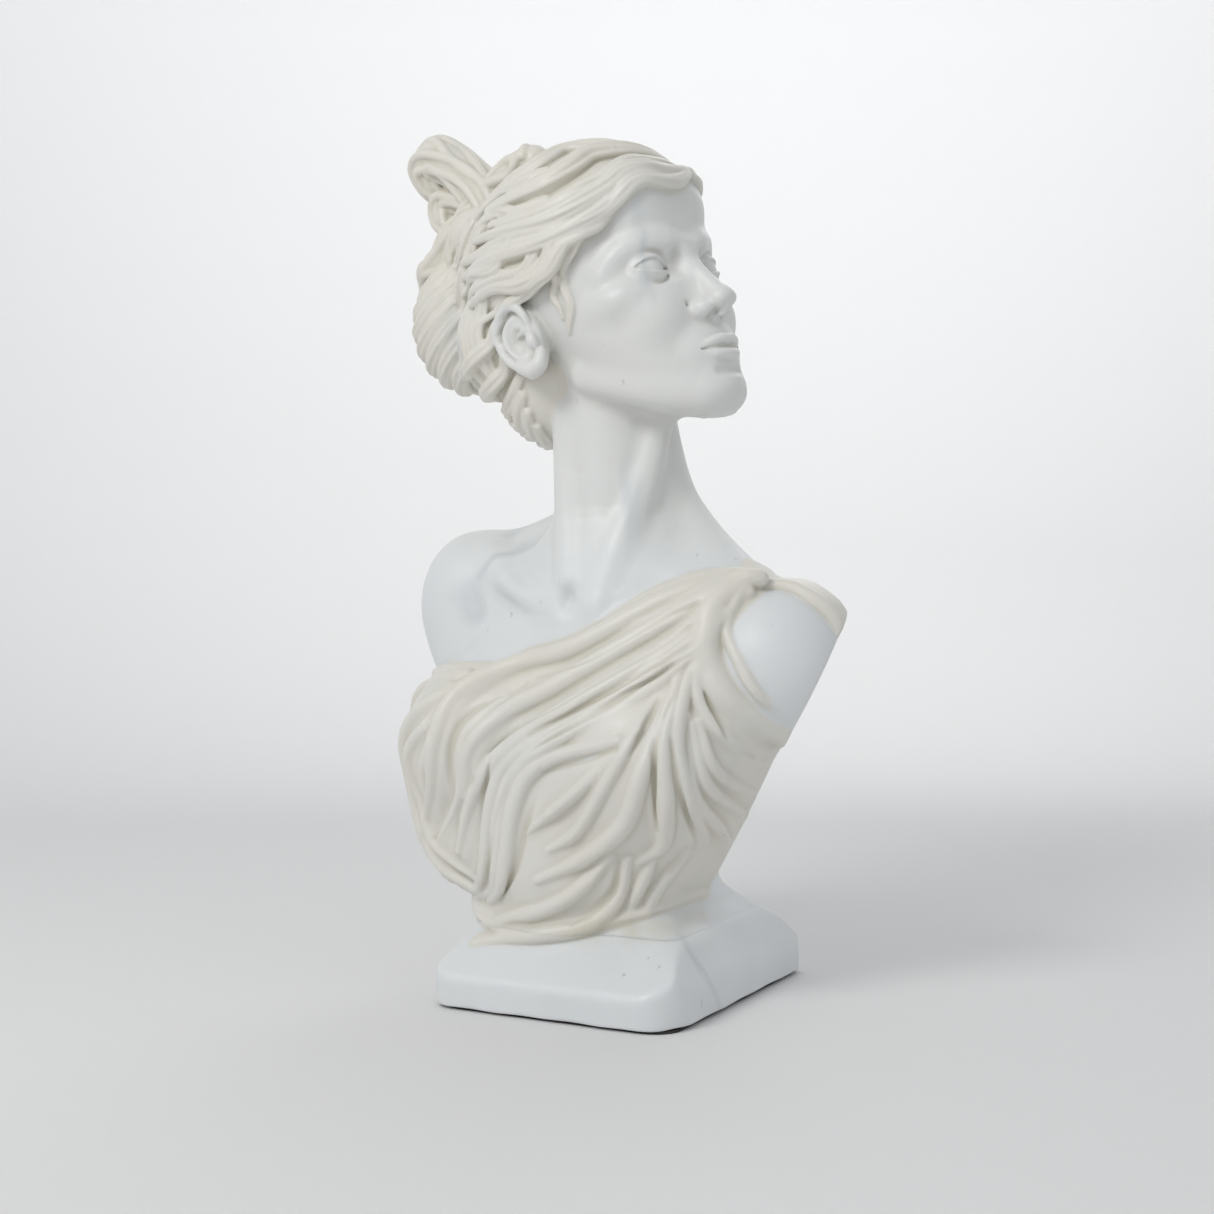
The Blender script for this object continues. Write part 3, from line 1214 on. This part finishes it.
def threaded(tree, shader, pitch):
    """The ridges of a thread along z, instead of the material's grain."""
    place = tree.nodes.new("ShaderNodeTexCoord").outputs["Object"]
    scale = MM / pitch * 314.0
    wave = node(tree, "ShaderNodeTexWave", bands_direction="Z", wave_profile="TRI", Scale=scale)
    tree.links.new(place, wave.inputs["Vector"])
    raised(tree, shader, wave.outputs["Fac"], 1.0, 0.001)


def finish_fixings():
    """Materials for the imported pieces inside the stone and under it, which keep their CAD shapes."""
    steel = simple("stainless_steel", (0.58, 0.58, 0.57), 0.30, 1.0)
    looks = {
        "bedding_joint": simple("stone_adhesive", (0.66, 0.60, 0.46), 0.75, grain=300, depth=0.0004),
        "threaded_rod": simple("stainless_thread", (0.56, 0.56, 0.55), 0.34, 1.0),
        "resin_sleeve": simple("anchor_resin", (0.66, 0.52, 0.26), 0.35, grain=120),
        "plate_washer": steel,
        "spring_washer": simple("spring_steel", (0.36, 0.37, 0.39), 0.38, 1.0),
        "hex_nut": steel,
        "base_pad": simple("black_rubber", (0.045, 0.042, 0.04), 0.85, grain=600, depth=0.0005),
    }
    rod = looks["threaded_rod"].node_tree
    threaded(rod, rod.nodes["Principled BSDF"], 2.0)
    for name, material in looks.items():
        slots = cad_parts[name].data.materials
        slots.clear()
        slots.append(material)


# ---- the pieces ----
def warm_parts(clay, bare, points):
    """1 where cloth or hair covers the bare stone body, less on neck and face, 0 on trunk and foot."""
    thin, thick = 0.2, 1.4
    cover = np.clip((sampled(bare, clay, points) - thin) / (thick - thin), 0, 1)
    neck_foot, neck_top, head_share = 325, 385, 0.38
    head = head_share * np.clip((points[:, 2] - neck_foot) / (neck_top - neck_foot), 0, 1)
    return np.maximum(cover, head)


def stained(points):
    """How much a place lies under the front of the hem, where the stone has yellowed."""
    x, y, z = points.T
    middle, breadth, height, depth = 40, 42, 64, 9
    across = np.exp(-((x - middle) / breadth) ** 2)
    return np.where(y < 0, across * np.exp(-((z - height) / depth) ** 2), 0)


def carve_whole():
    """The carved figure, foot and slab in one, and its bare body without cloth and hair."""
    clay = Clay(*CLAY_BOX)
    carve_trunk(clay)
    carve_foot(clay)
    carve_head(clay)
    bare = clay.field.copy()
    lay_cloth(clay)
    lay_folds(clay)
    for field in (bare, clay.field):
        clay.field = field
        bare_shoulder(clay)
    edge_armhole(clay)
    tie_knot(clay)
    cut_flat(clay, LEFT_CUT)
    carve_hair(clay)
    return clay, bare


def make_stones():
    """The bust and the socle, two skins of one carving that meet at the joint."""
    clay, bare = carve_whole()
    whole = clay.field
    soft, deepest = blurred(whole, 4.0), 1.6
    spans, (_, _, z) = clay.everywhere()
    hairline = 0.05
    halves = (("carved_bust", JOINT + hairline, 1), ("carved_socle", JOINT - hairline, -1))
    pieces = []
    for name, level, side in halves:
        clay.field = whole.copy()
        clay.keep(spans, side * (level - z))
        if side > 0:
            bore(clay, ROD_BORE, JOINT - OVERCUT, ROD_BORE_TOP)
        else:
            bore(clay, ROD_BORE, -OVERCUT, JOINT + OVERCUT)
            bore(clay, COUNTERBORE, -OVERCUT, COUNTERBORE_TOP)
        piece, points = skin(name, clay)
        seated(piece, points, whole, clay, level)
        attribute(piece, "warmth", warm_parts(clay, bare, points))
        attribute(piece, "recess", np.clip(-sampled(soft, clay, points) / deepest, 0, 1))
        attribute(piece, "stain", stained(points))
        pieces.append(piece)
    return pieces


def dress(piece, node, material):
    """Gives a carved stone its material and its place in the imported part."""
    piece.data.materials.append(material)
    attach(piece, "root")
    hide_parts(node)


# ---- camera, light and floor ----
def make_camera():
    """The picture's viewing angle: a little to her left of the chest, level with the shoulders."""
    azimuth, drop = math.radians(28), math.radians(1.87)
    away, aside, height = 1.505, -0.0143, 0.353  # metres from the middle of the socle
    data = bpy.data.cameras.new("camera")
    data.lens = 56.3
    data.sensor_width = 36.0
    camera = bpy.data.objects.new("camera", data)
    camera.location = (
        math.sin(azimuth) * away + math.cos(azimuth) * aside,
        -math.cos(azimuth) * away + math.sin(azimuth) * aside,
        height,
    )
    camera.rotation_euler = (math.pi / 2 - drop, 0, azimuth)
    bpy.context.collection.objects.link(camera)
    bpy.context.scene.camera = camera


def make_floor():
    """A pale floor that sweeps up into a backdrop on every side."""
    flat, bend, sides = 1.5, 2.7, 96
    profile = [(0.0, 0.0), (flat, 0.0)]
    profile += [(flat + bend * math.sin(a), bend * (1 - math.cos(a)))
                for a in np.linspace(0, math.pi / 2, 13)[1:]]
    profile.append((flat + bend, bend + 3.0))
    vertices, faces = [], []
    for radius, height in profile:
        for i in range(sides):
            turn = 2 * math.pi * i / sides
            vertices.append((radius * math.cos(turn), radius * math.sin(turn), height))
    for level in range(len(profile) - 1):
        for i in range(sides):
            j = (i + 1) % sides
            a, b = level * sides, (level + 1) * sides
            faces.append((a + i, b + i, b + j, a + j))
    mesh = bpy.data.meshes.new("floor")
    mesh.from_pydata(vertices, [], faces)
    mesh.polygons.foreach_set("use_smooth", np.ones(len(faces), bool))
    floor = bpy.data.objects.new("floor", mesh)
    bpy.context.collection.objects.link(floor)
    material, tree, shader = nodes_of("floor_paper")
    height = tree.nodes.new("ShaderNodeSeparateXYZ")
    place = tree.nodes.new("ShaderNodeNewGeometry").outputs["Position"]
    tree.links.new(place, height.inputs["Vector"])
    share = between(tree, height.outputs["Z"], 0.05, 1.8)
    tree.links.new(mixed(tree, share, (0.80, 0.80, 0.80), (0.93, 0.93, 0.93)), shader.inputs["Base Color"])
    shader.inputs["Roughness"].default_value = 0.9
    mesh.materials.append(material)


def add_area(name, location, target, size, power, colour=(1, 1, 1)):
    data = bpy.data.lights.new(name, "AREA")
    data.shape = "DISK"
    data.size = size
    data.energy = power
    data.color = colour
    lamp = bpy.data.objects.new(name, data)
    lamp.location = location
    aim = Vector(target) - Vector(location)
    lamp.rotation_euler = aim.to_track_quat("-Z", "Y").to_euler()
    bpy.context.collection.objects.link(lamp)


def make_light():
    middle = (0, 0, 0.4)
    add_area("key", (-0.5, -1.85, 1.75), middle, 0.9, 20, (1.0, 0.995, 0.98))
    add_area("fill", (1.8, -0.6, 0.8), middle, 1.4, 1.2, (0.92, 0.97, 1.0))
    add_area("rim", (-0.2, 1.8, 1.7), middle, 1.2, 5)
    add_area("backdrop", (-0.5, 1.3, 2.4), (-1.7, 3.4, 1.9), 1.6, 34)
    world = bpy.data.worlds.new("studio")
    world.use_nodes = True
    background = world.node_tree.nodes["Background"]
    background.inputs["Color"].default_value = (0.96, 0.975, 1.0, 1)
    background.inputs["Strength"].default_value = 0.55
    bpy.context.scene.world = world


bpy.context.scene.view_settings.view_transform = "Standard"
make_camera()
make_light()
make_floor()
stone = marble()
carved_bust, carved_socle = make_stones()
dress(carved_bust, "bust", stone)
dress(carved_socle, "socle", stone)
finish_fixings()
